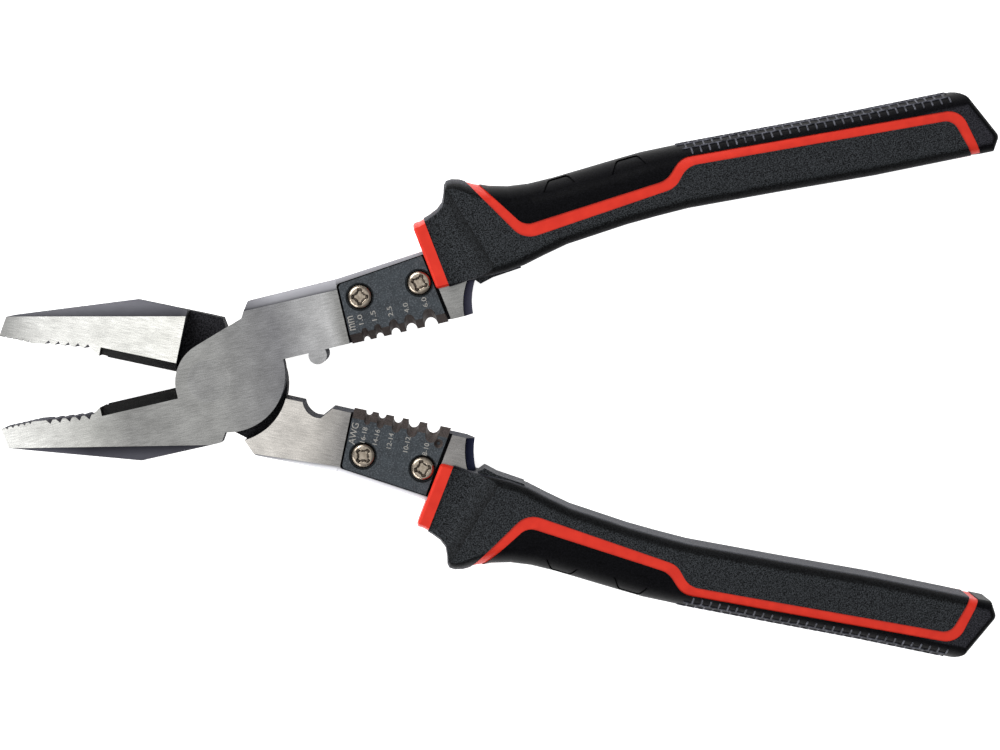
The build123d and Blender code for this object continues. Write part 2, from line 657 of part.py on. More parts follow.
# ---- the whole tool, opened and set down ------------------------------------------------------
def assembly():
    """Every piece by name, in the frame of the finished tool, and the place of the pivot."""
    turned = Rot(180, 0, 0)
    front = {"front_lever": lever(True), "pivot_rivet": pivot_rivet(), "metric_plate": stripping_plate(True)}
    rear = {"rear_lever": turned * lever(False), "gauge_plate": stripping_plate(False)}
    for name, (x, y) in zip(("front", "rear"), screw_places):
        front[f"metric_plate_{name}_screw"] = Pos(x, plate_line + y, 0) * plate_screw()
        rear[f"gauge_plate_{name}_screw"] = Pos(x, plate_line - y, 0) * plate_screw()
    for name, piece in grip_pieces(True).items():
        front[f"front_{name}"] = piece
    for name, piece in grip_pieces(False).items():
        rear[f"rear_{name}"] = turned * piece
    opened = {name: Rot(0, 0, rest_opening / 2) * piece for name, piece in front.items()}
    opened |= {name: Rot(0, 0, -rest_opening / 2) * piece for name, piece in rear.items()}
    boxes = [piece.bounding_box() for piece in opened.values()]
    low = [min(box.min.X for box in boxes), min(box.min.Y for box in boxes), min(box.min.Z for box in boxes)]
    high = [max(box.max.X for box in boxes), max(box.max.Y for box in boxes)]
    pivot = (-(low[0] + high[0]) / 2, -(low[1] + high[1]) / 2, -low[2])
    return {name: Pos(*pivot) * piece for name, piece in opened.items()}, pivot


if __name__ == "__main__":
    os.makedirs("parts", exist_ok=True)
    pieces, pivot = assembly()
    for name, piece in pieces.items():
        export_step(piece, f"parts/{name}.step")
    print("pivot axis at", [round(value, 3) for value in pivot])
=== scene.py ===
# %% [markdown]
# This lesson dresses a combination wire stripper: two forged levers on a rivet, two blued stripping
# plates held by pan head screws, and three-shot moulded grips. The solids come ready made from the CAD
# model. Blender adds the finishes, the detailed screws, the marked numbers, the moulded tread, a camera
# and the light.

# %% Load the model
import bpy
import bmesh
import json
from math import atan2, cos, degrees, radians, sin
from mathutils import Matrix, Vector


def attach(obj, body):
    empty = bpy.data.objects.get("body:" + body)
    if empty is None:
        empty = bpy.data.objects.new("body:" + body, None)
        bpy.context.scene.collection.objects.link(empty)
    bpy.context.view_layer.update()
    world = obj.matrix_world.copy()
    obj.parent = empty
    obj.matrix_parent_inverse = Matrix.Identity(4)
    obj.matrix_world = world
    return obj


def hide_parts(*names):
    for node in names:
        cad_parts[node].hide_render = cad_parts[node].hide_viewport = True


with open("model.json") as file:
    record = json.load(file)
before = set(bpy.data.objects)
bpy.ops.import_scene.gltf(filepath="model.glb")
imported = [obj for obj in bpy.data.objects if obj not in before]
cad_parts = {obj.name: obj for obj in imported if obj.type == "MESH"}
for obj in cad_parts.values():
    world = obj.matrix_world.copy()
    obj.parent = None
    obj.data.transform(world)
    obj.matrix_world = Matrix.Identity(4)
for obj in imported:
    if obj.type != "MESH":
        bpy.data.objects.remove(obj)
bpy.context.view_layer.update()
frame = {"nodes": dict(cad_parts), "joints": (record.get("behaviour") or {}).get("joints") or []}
nodes = frame["nodes"]
pivot = Vector(frame["joints"][0]["pos_m"])
print("nodes:", sorted(nodes))

# %% [markdown]
# The camera looks down on the tool from well over half a metre, a few degrees off to the upper grip's
# side, so a little of the lower lever's inner walls shows. A long lens keeps the levers nearly free of
# perspective. The camera stands on the line from the target along its own Z axis, so one rotation sets
# both where it stands and where it looks.

# %% Camera
camera_distance = 0.631
camera_lean = radians(3.6)
camera_roll = radians(0.5)
camera_target = pivot + Vector((0.06973, 0.0004, 0))

camera = bpy.data.objects.new("camera", bpy.data.cameras.new("camera"))
bpy.context.collection.objects.link(camera)
camera.data.sensor_width = 36
camera.data.lens = 94.0
turn = (Matrix.Rotation(camera_roll, 3, "Z") @ Matrix.Rotation(camera_lean, 3, "X")).transposed()
stand = camera_target + turn @ Vector((0, 0, camera_distance))
camera.matrix_world = Matrix.Translation(stand) @ turn.to_4x4()
bpy.context.scene.camera = camera
print("lens", camera.data.lens, "mm at", camera_distance, "m")


# %% [markdown]
# A material is a small tree of nodes. One function adds a node: plain values fill its sockets in order,
# named ones set its properties or its sockets by name. A colour is written as the hex value a painter
# would pick, and is turned to the linear numbers that shaders use.

# %% Colour and node helpers
def linear(hex_colour):
    """sRGB hex colour as linear RGBA."""
    parts = [int(hex_colour[i:i + 2], 16) / 255 for i in (1, 3, 5)]
    return tuple(c / 12.92 if c <= 0.04045 else ((c + 0.055) / 1.055) ** 2.4 for c in parts) + (1,)


def add(tree, kind, *values, stops=(), **named):
    """A new shader node with its settings and links; stops fill a colour ramp."""
    node = tree.nodes.new("ShaderNode" + kind)
    for name in [name for name in named if hasattr(node, name)]:
        setattr(node, name, named.pop(name))
    pairs = list(zip([socket for socket in node.inputs if socket.enabled], values))
    pairs += [(node.inputs[name.replace("_", " ")], value) for name, value in named.items()]
    for socket, value in pairs:
        if isinstance(value, bpy.types.Node):
            value = next(out for out in value.outputs if out.enabled)
        if isinstance(value, bpy.types.NodeSocket):
            tree.links.new(value, socket)
        else:
            socket.default_value = linear(value) if isinstance(value, str) else value
    for index, (place, colour) in enumerate(stops):
        element = node.color_ramp.elements[index] if index < 2 else node.color_ramp.elements.new(place)
        element.position = place
        element.color = linear(colour)
    return node


def new_material(name):
    """An empty material: returns it with its node tree."""
    material = bpy.data.materials.new(name)
    material.use_nodes = True
    material.node_tree.nodes.clear()
    return material, material.node_tree


def dress(material, *names):
    """Gives a material to CAD nodes."""
    for name in names:
        for slot in nodes[name].material_slots:
            slot.material = material
    print(material.name, "on", ", ".join(names))


# %% [markdown]
# Each lever has its own direction, so its grinding marks and its dark, unground places are laid out
# along the lever. Object coordinates are turned into millimetres along, across and above it. Across is
# counted from the closing line towards the lever's own grip, which puts both jaws at negative values, so
# one layout serves for both levers.

# %% Lever coordinates
millimetre = 0.001           # in the scene's metres
half_opening = radians(12.5)
face_level = 6.0             # height of the ground faces above the lap plane, in millimetres


def lever_mm(tree, front):
    """Node that gives a point's place along, across and above a lever from the pivot."""
    place = add(tree, "TexCoord").outputs["Object"]
    spot = add(tree, "VectorMath", place, tuple(pivot), operation="SUBTRACT")
    scale = 1 / millimetre
    return add(tree, "Mapping", spot, Rotation=(0, 0, -half_opening),
               Scale=(scale, scale if front else -scale, scale))


def facing_up(tree):
    """How far the surface faces up: 1 when level, 0 when upright, -1 on an underside."""
    return add(tree, "SeparateXYZ", add(tree, "NewGeometry").outputs["Normal"]).outputs[2]


def place_on_lever(front):
    """Matrix from a lever's millimetres to the scene, for new pieces; across is up for both levers."""
    turned = Matrix.Rotation(half_opening if front else -half_opening, 4, "Z")
    return Matrix.Translation(pivot) @ turned @ Matrix.Scale(millimetre, 4)


print("each lever lies", degrees(half_opening), "degrees from the middle")


# %% [markdown]
# The levers are drop-forged chrome-nickel steel. The flat faces are belt-ground: fine lines run along
# each lever, over a grain of tiny pits. Both are drawn a little coarser than real so that they show. The
# rivet is ground together with the levers, so the finish is a helper that both materials use.

# %% Belt-ground finish
def belt_grinding(tree, mm):
    """The lines and the grain of ground steel, and how much they lighten or darken it."""
    lines = add(tree, "TexNoise", add(tree, "Mapping", mm, Scale=(0.3, 4.4, 1.0)), Scale=1.0, Detail=2.0,
                Roughness=0.6)
    grain = add(tree, "TexNoise", mm, Scale=4.5, Detail=2.0, Roughness=0.7)
    cloud = add(tree, "TexNoise", mm, Scale=0.2, Detail=3.0, Roughness=0.6)
    shade = add(tree, "Math", add(tree, "MapRange", lines, 0.35, 0.65, 0.86, 1.14),
                add(tree, "MapRange", grain, 0.35, 0.65, 0.8, 1.2), operation="MULTIPLY")
    shade = add(tree, "Math", shade, add(tree, "MapRange", cloud, 0.3, 0.7, 0.86, 1.14),
                operation="MULTIPLY")
    return lines, grain, shade


# %% [markdown]
# Ground steel is a dull mirror, so its tone changes with what it faces: the rear jaw and both tips are
# nearly white, the joint is mid grey. A ramp along the lever paints that slow change into the colour, as
# a painted reflection. The facets on the jaws' backs are painted darker, a painted reflection too. The
# sides keep their dark forging skin, which is a scale and no longer metallic. The rear lever's skin and
# teeth are painted lighter than the front's: painted light.

# %% Forged steel: tones along the levers
ramp_start, ramp_end = -52.0, 68.0      # millimetres along the lever, the ends of every ramp


def along(*stops):
    """Ramp stops from places in millimetres and grey levels written as hex colours."""
    return [((place - ramp_start) / (ramp_end - ramp_start), colour) for place, colour in stops]


# for the front lever and for the rear one; these ramps are painted reflection, not the steel's own colour
painted_reflection_face_tones = {
    True: along((-50, "#eeeeea"), (-31, "#b6b6b2"), (-21, "#90908e"), (0, "#989896"), (18, "#7e7e80"),
                (31, "#bababa"), (34, "#90908e")),
    False: along((-50, "#a0a09e"), (-42, "#e2e2de"), (-14, "#f0f0ea"), (12, "#d4d0ca"), (27, "#c4c0ba"),
                 (34, "#8c8a88")),
}
painted_reflection_facet_tones = {
    True: along((-44, "#4e4e54"), (-32, "#36363a"), (-10, "#3a3a3e"), (12, "#5a5a5e"), (20, "#808084"),
                (58, "#7c7c80"), (61, "#383840")),
    False: along((-44, "#545458"), (-10, "#404044"), (12, "#9c9ca0"), (25, "#c8c8cc"), (58, "#c8c8cc"),
                 (61, "#262832")),
}
# the forging skin and the teeth have their own dark scale, but the rear lever's are painted lighter than
# the front's: painted light
skin_tones_with_painted_light = {True: ("#1d1e23", "#3b3c44"), False: ("#24252a", "#45464e")}
tooth_tone_with_painted_light = {True: "#34343c", False: "#66666c"}
print("tones:", [len(tones) for tones in (*painted_reflection_face_tones.values(), *painted_reflection_facet_tones.values())], "stops")

# %% [markdown]
# Where each finish lies is a matter of place. A stretch of the lever is given by its middle and half its
# length, because the Math node's Compare asks exactly that: is this value within so much of that one?

# %% Forged steel: places on the levers
teeth_stretch = (-38.4, 11.5)
cutter_stretch = (-17.5, 9.6)
joint_stretch = (4.3, 15.2)
teeth_reach = -3.3           # the teeth lie between this place across and the closing line
cutter_reach = -2.75
tang_start = 12.0
sunk_level = 5.2             # what lies within this height of the lap plane is below the ground faces
joint_walls = {True: (-2.6, 2.8), False: (0.0, 5.2)}    # heights of the black walls: middle and half
print("teeth", teeth_stretch, "cutter", cutter_stretch, "joint", joint_stretch)


# %% [markdown]
# A ground face has its ramp's tone, multiplied by the grinding. A facet gets a painted reflection: it
# is painted dark at its border with the face and lighter outwards. On the tang, that border is painted
# darker still.

# %% Forged steel: faces and facets
def ground_colours(tree, x, z, shade, front):
    """Colours of the flat faces and of the facets."""
    place = add(tree, "MapRange", x, ramp_start, ramp_end)
    face = add(tree, "ValToRGB", place, stops=painted_reflection_face_tones[front])
    facet = add(tree, "ValToRGB", place, stops=painted_reflection_facet_tones[front])
    face = add(tree, "Mix", 1.0, face, add(tree, "CombineXYZ", shade, shade, shade), data_type="RGBA",
               blend_type="MULTIPLY")
    level = add(tree, "Math", z, operation="ABSOLUTE")
    on_tang = add(tree, "Math", x, tang_start, operation="GREATER_THAN")
    tang_level = add(tree, "Math", level, on_tang, operation="MULTIPLY")
    # painted reflection across the facet: darker at its border with the face, lighter outwards, and darker
    # still on the tang's rounded border
    painted_facet_reflection = add(tree, "Math", add(tree, "MapRange", level, face_level, 2.0, 0.75, 1.9),
                 add(tree, "MapRange", tang_level, sunk_level, face_level, 1.0, 0.5), operation="MULTIPLY")
    facet = add(tree, "Mix", 1.0, facet, add(tree, "CombineXYZ", painted_facet_reflection, painted_facet_reflection, painted_facet_reflection), data_type="RGBA",
                blend_type="MULTIPLY")
    return face, facet


# %% [markdown]
# The floors below the faces are black, because no grinding belt reaches them. The walls beside the joint
# and the cutter's bevels are black too. Each place is a mask, and the masks are joined by their maximum.

# %% Forged steel: black places
def black_places(tree, x, y, z, up, is_face, front):
    """Mask of all that is black, and of the cutter's bevels alone."""
    below = add(tree, "Math", z, 0.0, sunk_level, operation="COMPARE")
    floors = add(tree, "Math", is_face, below, operation="MULTIPLY")
    walls = add(tree, "Math", up, 0.35, operation="LESS_THAN")
    walls = add(tree, "Math", walls, add(tree, "Math", x, *joint_stretch, operation="COMPARE"),
                operation="MULTIPLY")
    walls = add(tree, "Math", walls, add(tree, "Math", z, *joint_walls[front], operation="COMPARE"),
                operation="MULTIPLY")
    cutter = add(tree, "Math", add(tree, "Math", x, *cutter_stretch, operation="COMPARE"),
                 add(tree, "Math", y, cutter_reach, operation="GREATER_THAN"), operation="MULTIPLY")
    cutter = add(tree, "Math", cutter, add(tree, "Math", up, 0.9, operation="LESS_THAN"),
                 operation="MULTIPLY")
    black = add(tree, "Math", floors, walls, operation="MAXIMUM")
    black = add(tree, "Math", black, cutter, operation="MAXIMUM")
    return black, cutter


# %% [markdown]
# The steel's material puts these together: ground faces, facets, forging skin on the sides, slate grey
# between the teeth, and black. Only the ground parts are metallic. The rest is rough scale.

# %% Forged steel: the material
def forged_steel(front):
    """Ground steel with dark sides and black hollows."""
    material, tree = new_material("ground_forged_steel_" + ("front" if front else "rear"))
    mm = lever_mm(tree, front)
    x, y, z = add(tree, "SeparateXYZ", mm).outputs
    up = add(tree, "Math", facing_up(tree), operation="ABSOLUTE")
    is_face = add(tree, "MapRange", up, 0.93, 0.99)
    lines, grain, shade = belt_grinding(tree, mm)
    face, facet = ground_colours(tree, x, z, shade, front)
    dark, light = skin_tones_with_painted_light[front]
    skin = add(tree, "ValToRGB", grain, stops=((0.35, dark), (0.65, light)))
    in_teeth = add(tree, "Math", add(tree, "Math", x, *teeth_stretch, operation="COMPARE"),
                   add(tree, "Math", y, teeth_reach, operation="GREATER_THAN"), operation="MULTIPLY")
    skin = add(tree, "Mix", in_teeth, skin, tooth_tone_with_painted_light[front], data_type="RGBA")
    is_facet = add(tree, "Math", add(tree, "MapRange", up, 0.25, 0.35), in_teeth, operation="SUBTRACT",
                   use_clamp=True)
    steel = add(tree, "Mix", is_facet, skin, facet, data_type="RGBA")
    steel = add(tree, "Mix", is_face, steel, face, data_type="RGBA")
    black, cutter = black_places(tree, x, y, z, up, is_face, front)
    scale_grain = add(tree, "TexNoise", mm, Scale=3.0, Detail=5.0, Roughness=0.75)
    soot = add(tree, "ValToRGB", scale_grain, stops=((0.4, "#050505"), (0.62, "#38383c")))
    soot = add(tree, "Mix", cutter, soot, "#060606", data_type="RGBA")
    colour = add(tree, "Mix", black, steel, soot, data_type="RGBA")
    metal = add(tree, "Math", add(tree, "Math", is_face, is_facet, operation="MAXIMUM"), black,
                operation="SUBTRACT", use_clamp=True)
    rough = add(tree, "Mix", metal, 0.7, add(tree, "MapRange", lines, 0.3, 0.7, 0.34, 0.46))
    fine = add(tree, "Bump", 0.12, 0.00002, Height=lines)
    coarse = add(tree, "Bump", add(tree, "Mix", metal, 0.5, 0.0), 0.0002, Height=scale_grain, Normal=fine)
    steel_shader = add(tree, "BsdfPrincipled", Base_Color=colour, Metallic=metal, Roughness=rough,
                       Specular_IOR_Level=0.1, Specular_Tint="#909090", Normal=coarse)
    add(tree, "OutputMaterial", steel_shader)
    return material


dress(forged_steel(True), "front_lever")
dress(forged_steel(False), "rear_lever")

# %% [markdown]
# The rivet is turned from the same steel and ground flush together with the joint, so the belt lines run
# over it too. Only a faint ring shows where its head ends, a painted highlight. Each head is painted with
# the tone of the lever around it, a painted reflection: the front lever's on the front, the rear lever's
# on the back.

# %% Rivet steel
# the head's outer edge is painted paler: a painted highlight
highlight_ring_start, highlight_ring_end = 4.8, 5.1         # radii between which the head's edge catches the light


def rivet_steel():
    """Ground steel with a painted highlight ring, in the painted reflection tone of the lever that the head
    lies in.
    """
    material, tree = new_material("flush_ground_rivet_steel")
    mm = lever_mm(tree, True)
    x, y, z = add(tree, "SeparateXYZ", mm).outputs
    radius = add(tree, "VectorMath", add(tree, "CombineXYZ", x, y), operation="LENGTH").outputs["Value"]
    lines, _, shade = belt_grinding(tree, mm)
    shade = add(tree, "Math", shade, add(tree, "MapRange", radius, highlight_ring_start, highlight_ring_end, 1.0, 1.12),
                operation="MULTIPLY")
    # each head is painted with its lever's tone: painted reflection
    on_back = add(tree, "Math", z, 0.0, operation="LESS_THAN")
    painted_reflection_head_tone = add(tree, "Mix", on_back, "#949493", "#dad7d0", data_type="RGBA")
    colour = add(tree, "Mix", 1.0, painted_reflection_head_tone, add(tree, "CombineXYZ", shade, shade, shade), data_type="RGBA",
                 blend_type="MULTIPLY")
    steel_shader = add(tree, "BsdfPrincipled", Base_Color=colour, Metallic=1.0, Roughness=0.4,
                       Normal=add(tree, "Bump", 0.12, 0.00002, Height=lines))
    add(tree, "OutputMaterial", steel_shader)
    return material


dress(rivet_steel(), "pivot_rivet")


# %% [markdown]
# The stripping plates are hardened and blued: a thin dark oxide with a slate sheen on the face, and
# browner on the ground bevel that cuts the insulation. The upright walls of the notches are painted nearly
# black, as painted shade, and the rear plate's bevel is painted lighter than the front's, as painted light.
# Handling leaves tiny pale specks.

# %% Blued plates
# the rear plate's bevel is painted lighter than the front's: painted light
bevel_tones_with_painted_light = {True: ("#2a2220", "#403632"), False: ("#3a3330", "#5e5552")}


def blued_steel(front):
    """Slate face, brown bevel and walls painted nearly black as shade."""
    material, tree = new_material("blued_plate_steel_" + ("front" if front else "rear"))
    mm = lever_mm(tree, front)
    up = facing_up(tree)
    is_face = add(tree, "MapRange", up, 0.93, 0.99)
    cloud = add(tree, "TexNoise", mm, Scale=0.45, Detail=5.0)
    speck = add(tree, "TexNoise", mm, Scale=2.8, Detail=2.0, Roughness=0.7)
    face = add(tree, "ValToRGB", cloud, stops=((0.3, "#2c3034"), (0.7, "#393f44")))
    face = add(tree, "Mix", add(tree, "MapRange", speck, 0.48, 0.8), face, "#5f6469", data_type="RGBA")
    dark, light = bevel_tones_with_painted_light[front]
    bevel = add(tree, "ValToRGB", speck, stops=((0.3, dark), (0.7, light)))
    # upright walls are painted nearly black: painted shade
    side = add(tree, "Mix", add(tree, "MapRange", up, 0.1, 0.35), "#1a1413", bevel, data_type="RGBA")
    colour = add(tree, "Mix", is_face, side, face, data_type="RGBA")
    blued_shader = add(tree, "BsdfPrincipled", Base_Color=colour, Metallic=0.6, Roughness=0.5,
                       Normal=add(tree, "Bump", 0.12, 0.00005, Height=speck))
    add(tree, "OutputMaterial", blued_shader)
    return material


dress(blued_steel(True), "metric_plate")
dress(blued_steel(False), "gauge_plate")


# %% [markdown]
# New pieces are built in lever millimetres with bmesh and moved to their place at the end, so their
# objects stay at the origin, unturned, like the CAD nodes. One helper turns a finished bmesh into an
# object that rides on its lever. The other picks the verts, edges or faces out of what a bmesh operation
# has made.

# %% From bmesh to a riding piece
weld_distance = 0.001        # verts that lie nearer than this are merged


def finish_piece(shape, name, front, materials, smooth=False):
    """Places a bmesh made in lever millimetres and makes it an object that moves with its lever."""
    bmesh.ops.transform(shape, matrix=place_on_lever(front), verts=shape.verts)
    bmesh.ops.recalc_face_normals(shape, faces=shape.faces)
    for face in shape.faces:
        face.smooth = smooth
    mesh = bpy.data.meshes.new(name)
    shape.to_mesh(mesh)
    shape.free()
    for material in materials:
        mesh.materials.append(material)
    piece = bpy.data.objects.new(name, mesh)
    bpy.context.collection.objects.link(piece)
    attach(piece, "front_half" if front else "rear_half")
    print(name, len(mesh.polygons), "faces")
    return piece


def only(kind, made):
    """The verts, edges or faces among the geometry that an operation made."""
    return [item for item in made if isinstance(item, kind)]


# %% [markdown]
# The screws are nickel-plated pan heads with a cross recess, warmer in tone than the ground steel. The
# recess walls have a darker brown material of their own, a painted shade inside the recess; the bottom
# keeps the nickel.

# %% Nickel and painted recess shade
def nickel():
    """Warm plated metal, slightly clouded."""
    material, tree = new_material("nickel_plated_screw")
    cloud = add(tree, "TexNoise", lever_mm(tree, True), Scale=1.5, Detail=3.0)
    colour = add(tree, "ValToRGB", cloud, stops=((0.3, "#8f8476"), (0.7, "#b5aa9b")))
    nickel_shader = add(tree, "BsdfPrincipled", Base_Color=colour, Metallic=1.0, Roughness=0.26)
    add(tree, "OutputMaterial", nickel_shader)
    return material


def recess_painted_shade():
    """Plating painted darker brown: painted shade on the recess walls."""
    material, tree = new_material("recess_wall_painted_shade")
    recess_cloud = add(tree, "TexNoise", lever_mm(tree, True), Scale=2.0, Detail=2.0)
    colour = add(tree, "ValToRGB", recess_cloud, stops=((0.3, "#241f1a"), (0.7, "#564b3e")))
    recess_shade_shader = add(tree, "BsdfPrincipled", Base_Color=colour, Metallic=0.4, Roughness=0.5)
    add(tree, "OutputMaterial", recess_shade_shader)
    return material


screw_materials = (nickel(), recess_painted_shade())
print("screws:", [material.name for material in screw_materials])

# %% [markdown]
# A screw starts as the rim of its recess, a ring pulled in between the four arms. Extruded outwards and
# down, the ring makes the head. Extruded down and shrunk, the same ring makes the tapering walls that a
# driver sits in. The rim of a used recess is rolled over a little and catches the light, so it gets a
# small bevel.

# %% Cross recess screws
screw_seat = 4.6             # height of the seat above the lap plane
head_radius, head_height = 3.0, 2.0
head_profile = ((0.79, 1.85), (0.90, 1.55), (0.97, 1.15), (1.0, 0.75), (1.0, 0.0))   # radius share, height
recess_profile = ((-0.15, 0.94), (-0.8, 0.62))      # depth below the rim, size against the rim
arm_reach, arm_waist = 2.1, 1.42        # the rim's radius on an arm and between two
flank_end, flank_width = 24.0, 12.0     # degrees off the arm's middle where its flank ends, and its width
rim_bevel = 0.2
screw_points = 72


def recess_radius(angle):
    """Rim of the cross recess: four arms with eased flanks."""
    off_arm = abs((degrees(angle) + 45) % 90 - 45)
    share = min(max((flank_end - off_arm) / flank_width, 0.0), 1.0)
    return arm_waist + (arm_reach - arm_waist) * share * share * (3 - 2 * share)


def plate_screw(name, x, y, turn_degrees, front):
    """Pan head with its recess, in place of the plain CAD screw."""
    shape = bmesh.new()
    ring = bmesh.ops.create_circle(shape, segments=screw_points, radius=1.0)["verts"]
    for vert in ring:
        angle = atan2(vert.co.y, vert.co.x)
        vert.co = recess_radius(angle) * Vector((cos(angle), sin(angle), 0))
        vert.co.z = head_height
    rim = list(shape.edges)
    # outwards and down over the head
    edges = rim
    for share, level in head_profile:
        grown = bmesh.ops.extrude_edge_only(shape, edges=edges)["geom"]
        edges = only(bmesh.types.BMEdge, grown)
        for vert in only(bmesh.types.BMVert, grown):
            angle = atan2(vert.co.y, vert.co.x)
            vert.co = Vector((head_radius * share * cos(angle), head_radius * share * sin(angle), level))
    bmesh.ops.holes_fill(shape, edges=edges, sides=0)
    # down into the recess
    edges = rim
    for depth, size in recess_profile:
        grown = bmesh.ops.extrude_edge_only(shape, edges=edges)["geom"]
        edges = only(bmesh.types.BMEdge, grown)
        # the recess walls take the darker material: painted shade
        for face in only(bmesh.types.BMFace, grown):
            face.material_index = 1
        for vert in only(bmesh.types.BMVert, grown):
            angle = atan2(vert.co.y, vert.co.x)
            reach = recess_radius(angle) * size
            vert.co = Vector((reach * cos(angle), reach * sin(angle), head_height + depth))
    for face in bmesh.ops.holes_fill(shape, edges=edges, sides=0)["faces"]:
        face.material_index = 0
    for edge in edges:
        edge.smooth = False
    bmesh.ops.bevel(shape, geom=rim, offset=rim_bevel, offset_type="OFFSET", segments=2, profile=0.5,
                    affect="EDGES", material=-1)
    bmesh.ops.remove_doubles(shape, verts=shape.verts, dist=weld_distance)
    move = Matrix.Translation((x, y, screw_seat)) @ Matrix.Rotation(radians(turn_degrees), 4, "Z")
    bmesh.ops.transform(shape, matrix=move, verts=shape.verts)
    piece = finish_piece(shape, name + "_detail", front, screw_materials, smooth=True)
    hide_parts(name)


plate_screw("metric_plate_front_screw", 39.8, 11.45, 77.5, True)
plate_screw("metric_plate_rear_screw", 54.4, 11.5, 59.5, True)
plate_screw("gauge_plate_front_screw", 39.8, -9.95, 57.5, False)
plate_screw("gauge_plate_rear_screw", 54.4, -10.0, 22.5, False)


# %% [markdown]
# The plates are marked with the sizes of wire each notch strips: square millimetres on one, wire gauge
# on the other. The marks are fine pale lines etched through the blueing. Text starts as a font curve,
# is made a mesh, and is stretched to the height and length of the real mark, so the letters keep their
# place whatever the font's own spacing is.

# %% Etched marks: the material
def etched_marks():
    """Bare steel, unevenly worn."""
    material, tree = new_material("etched_bright_steel_marks")
    worn = add(tree, "TexNoise", lever_mm(tree, True), Scale=2.5, Detail=3.0)
    colour = add(tree, "ValToRGB", worn, stops=((0.3, "#7a7874"), (0.65, "#a3a09a")))
    mark_shader = add(tree, "BsdfPrincipled", Base_Color=colour, Metallic=0.3, Roughness=0.5)
    add(tree, "OutputMaterial", mark_shader)
    return material


bright_marks = etched_marks()
print(bright_marks.name, "ready")

# %% Etched marks: the words
font_extrude = 0.05          # to each side, before the words are stretched
mark_thickness = 0.03
mark_lift = 0.01             # of the marks' middle above the face
number_height = 1.15


def add_mark(shape, words, x, y, length, height):
    """Adds words centred on a point of a plate, reading outwards from the pivot line."""
    font = bpy.data.curves.new("mark", "FONT")
    font.body = words
    font.extrude = font_extrude
    written = bpy.data.objects.new("mark", font)
    mesh = bpy.data.meshes.new_from_object(written)
    letters = bmesh.new()
    letters.from_mesh(mesh)
    xs = [vert.co.x for vert in letters.verts]
    ys = [vert.co.y for vert in letters.verts]
    centre = Vector(((min(xs) + max(xs)) / 2, (min(ys) + max(ys)) / 2, 0))
    size = Vector((length / (max(xs) - min(xs)), height / (max(ys) - min(ys)),
                   mark_thickness / (2 * font_extrude)))
    bmesh.ops.translate(letters, vec=-centre, verts=letters.verts)
    bmesh.ops.scale(letters, vec=size, verts=letters.verts)
    bmesh.ops.remove_doubles(letters, verts=letters.verts, dist=weld_distance)
    move = Matrix.Translation((x, y, face_level + mark_lift)) @ Matrix.Rotation(radians(90), 4, "Z")
    bmesh.ops.transform(letters, matrix=move, verts=letters.verts)
    letters.to_mesh(mesh)
    letters.free()
    shape.from_mesh(mesh)
    bpy.data.objects.remove(written)
    bpy.data.curves.remove(font)
    bpy.data.meshes.remove(mesh)


metric = bmesh.new()
add_mark(metric, "mm", 36.45, 5.74, 3.4, 1.45)
for words, x, y in (("1.0", 38.7, 6.1), ("1.5", 42.0, 6.3), ("2.5", 46.05, 6.4), ("4.0", 50.0, 6.4),
                    ("6.0", 54.6, 6.7)):
    add_mark(metric, words, x, y, 2.35, number_height)
finish_piece(metric, "metric_plate_marks", True, (bright_marks,))

gauge = bmesh.new()
add_mark(gauge, "AWG", 36.5, -5.2, 5.2, 1.6)
for words, x, y in (("16-18", 38.95, -5.0), ("14-16", 42.0, -4.9), ("12-14", 45.4, -5.1),
                    ("10-12", 49.5, -5.1), ("8-10", 54.2, -5.3)):
    add_mark(gauge, words, x, y, 3.0 if words == "8-10" else 3.7, number_height)
finish_piece(gauge, "gauge_plate_marks", False, (bright_marks,))


# %% [markdown]
# The grips are moulded in three shots: an orange-red core that shows as the collar and the stripe, a
# hard black shell with a spark-eroded grain, and a smooth softer black pad on the outer side. The grain
# is a noise that raises the surface and also flecks it, because each tiny facet glints or goes dark.

# %% Grip plastics: the red core
def red_plastic():
    """Plain moulded red with a slight orange peel."""
    material, tree = new_material("red_polypropylene_sleeve")
    mm = lever_mm(tree, True)
    cloud = add(tree, "TexNoise", mm, Scale=0.35, Detail=3.0)
    orange_peel = add(tree, "TexNoise", mm, Scale=2.0, Detail=2.0)
    colour = add(tree, "ValToRGB", cloud, stops=((0.3, "#c2281a"), (0.7, "#ce2f1e")))
    red_shader = add(tree, "BsdfPrincipled", Base_Color=colour, Roughness=0.45, IOR=1.49,
                     Specular_IOR_Level=0.2, Normal=add(tree, "Bump", 0.1, 0.0001, Height=orange_peel))
    add(tree, "OutputMaterial", red_shader)
    return material


dress(red_plastic(), "front_grip_sleeve", "rear_grip_sleeve")


# %% Grip plastics: the black mouldings
flat_end_start, flat_end_full = 0.1, 0.105      # metres from the tool's middle towards the grips' ends


def flecked(tree, tone, grain, darkest, lightest):
    """A tone that the grain darkens and lightens: painted glints and painted shade of its tiny facets."""
    fleck = add(tree, "MapRange", grain, 0.41, 0.64, darkest, lightest)
    return add(tree, "Mix", 1.0, tone, add(tree, "CombineXYZ", fleck, fleck, fleck), data_type="RGBA",
               blend_type="MULTIPLY")


def mould_grain(tree):
    """Craters about 0.25 mm wide, as spark erosion leaves them."""
    return add(tree, "TexNoise", lever_mm(tree, True), Scale=4.0, Detail=2.0, Roughness=0.6)


